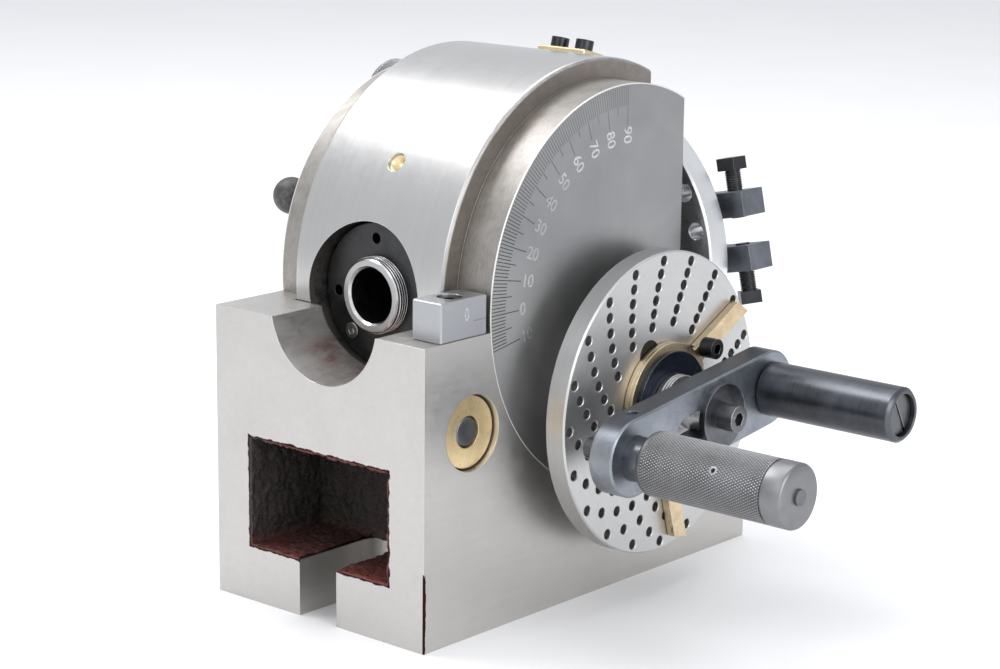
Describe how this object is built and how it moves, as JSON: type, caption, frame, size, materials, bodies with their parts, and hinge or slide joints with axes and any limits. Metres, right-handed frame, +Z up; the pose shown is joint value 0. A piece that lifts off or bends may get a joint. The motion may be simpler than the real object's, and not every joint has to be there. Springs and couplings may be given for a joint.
{
  "type": "tilting dividing head",
  "caption": "Dividing head with a tilting drum in a slotted base, worm-driven spindle, hole plate, crank, brass sector arms and a driver fork.",
  "frame": {"origin": "on the base's bottom plane, straight below the tilt axis, midway across the base", "axes": "+X the way the spindle nose points, +Y away from the crank, +Z up; base_face, the flat bottom, faces -Z"},
  "size_m": [0.1645, 0.2069, 0.175],
  "materials": {
    "machined_iron": "ground and brushed",
    "hardened_steel": "ground",
    "black_steel": "black oxide",
    "black_screws": "black oxide",
    "bright_steel": "turned",
    "plate_steel": "turned satin",
    "brass": "machined",
    "bronze": "turned",
    "knurled_steel": "knurled",
    "spring_steel": "drawn",
    "black_plastic": "moulded"
  },
  "bodies": {
    "base": {"base_casting": "machined_iron", "zero_index_block": "hardened_steel", "zero_block_screw": "black_screws", "lock_shoe_crank_side": "brass", "lock_shoe_far_side": "brass"},
    "lock_bolt": {"lock_bolt": "black_steel", "lock_bolt_washer": "black_steel"},
    "head": {"head_casting": "machined_iron", "rear_cap": "black_steel", "rear_cap_screws": "black_screws", "front_bearing_housing": "hardened_steel", "front_housing_screws": "black_screws", "spindle_front_bush": "bronze", "spindle_rear_bush": "bronze", "ball_oiler": "brass", "top_brass_plate": "brass", "top_plate_screws": "black_screws", "worm_sleeve": "hardened_steel", "worm_sleeve_screws": "black_screws", "worm_end_bush": "bronze", "hole_plate": "plate_steel", "hole_plate_screws": "black_screws", "sector_spring_washer": "black_steel", "spindle_lock_pad": "brass"},
    "spindle": {"spindle": "bright_steel", "worm_wheel": "bronze", "wheel_key": "bright_steel", "spindle_nut": "bright_steel", "index_plate": "plate_steel", "index_plate_screws": "black_screws", "driver_fork": "black_steel", "driver_fork_screws": "black_screws"},
    "dog_screw_lower": {"dog_screw_lower": "black_screws"},
    "dog_screw_upper": {"dog_screw_upper": "black_screws"},
    "worm": {"worm_shaft": "bright_steel", "crank_washer": "black_steel", "crank_cap_screw": "black_screws"},
    "crank": {"crank_arm": "black_steel", "plunger_sleeve": "knurled_steel", "plunger_plug": "knurled_steel", "plunger_spring": "spring_steel", "sleeve_set_screw": "black_screws", "handle_stud": "bright_steel"},
    "crank_handle": {"crank_handle": "black_steel"},
    "plunger": {"index_pin": "bright_steel", "plunger_knob": "knurled_steel", "plunger_cross_pin": "bright_steel"},
    "lower_sector": {"sector_arm_lower": "brass"},
    "upper_sector": {"sector_arm_upper": "brass", "sector_lock_screw": "black_screws"},
    "direct_pin": {"direct_index_pin": "bright_steel"},
    "direct_knob": {"direct_index_shaft": "bright_steel", "direct_index_knob": "knurled_steel"},
    "spindle_lock": {"spindle_lock_screw": "bright_steel", "spindle_lock_lever": "black_steel", "spindle_lock_ball": "black_plastic"}
  },
  "joints": [
    {"name": "head_tilt", "type": "hinge", "parent": "base", "child": "head", "pos_m": [0, 0, 0.1], "axis": [0, -1, 0], "range_deg": [-10, 90]},
    {"name": "tilt_lock", "type": "hinge", "parent": "base", "child": "lock_bolt", "pos_m": [-0.0727, 0, 0.0652], "axis": [0, 1, 0], "range_deg": [-90, 90]},
    {"name": "spindle_spin", "type": "hinge", "parent": "head", "child": "spindle", "pos_m": [0, 0.002, 0.1], "axis": [1, 0, 0], "continuous": true},
    {"name": "worm_spin", "type": "hinge", "parent": "head", "child": "worm", "pos_m": [0, 0, 0.064], "axis": [0, -1, 0], "continuous": true},
    {"name": "crank_radius", "type": "slide", "parent": "worm", "child": "crank", "axis": [0.9914, 0, 0.1305], "range_m": [0, 0.0121]},
    {"name": "handle_spin", "type": "hinge", "parent": "crank", "child": "crank_handle", "pos_m": [0.02776, 0, 0.06766], "axis": [0, -1, 0], "continuous": true},
    {"name": "index_plunger", "type": "slide", "parent": "crank", "child": "plunger", "axis": [0, -1, 0], "range_m": [-0.0064, 0.002]},
    {"name": "sector_turn", "type": "hinge", "parent": "head", "child": "lower_sector", "pos_m": [0, 0, 0.064], "axis": [0, -1, 0], "continuous": true},
    {"name": "sector_opening", "type": "hinge", "parent": "lower_sector", "child": "upper_sector", "pos_m": [0, 0, 0.064], "axis": [0, -1, 0], "range_deg": [-95, 190]},
    {"name": "direct_index_turn", "type": "hinge", "parent": "head", "child": "direct_knob", "pos_m": [0, 0, 0.1505], "axis": [0, 1, 0], "range_deg": [0, 80]},
    {"name": "direct_index_slide", "type": "slide", "parent": "head", "child": "direct_pin", "axis": [1, 0, 0], "range_m": [0, 0.00645]},
    {"name": "spindle_lock_turn", "type": "hinge", "parent": "head", "child": "spindle_lock", "pos_m": [-0.021, 0, 0.1], "axis": [0, 1, 0], "range_deg": [-60, 0]},
    {"name": "lower_dog_screw", "type": "slide", "parent": "spindle", "child": "dog_screw_lower", "axis": [0, 0.2079, 0.9781], "range_m": [-0.004, 0.003]},
    {"name": "upper_dog_screw", "type": "slide", "parent": "spindle", "child": "dog_screw_upper", "axis": [0, -0.2079, -0.9781], "range_m": [-0.004, 0.003]}
  ],
  "couplings": [
    {"joint": "worm_spin", "follows": "spindle_spin", "ratio": 40},
    {"joint": "direct_index_slide", "follows": "direct_index_turn", "m_per_rad": 0.0046036}
  ]
}
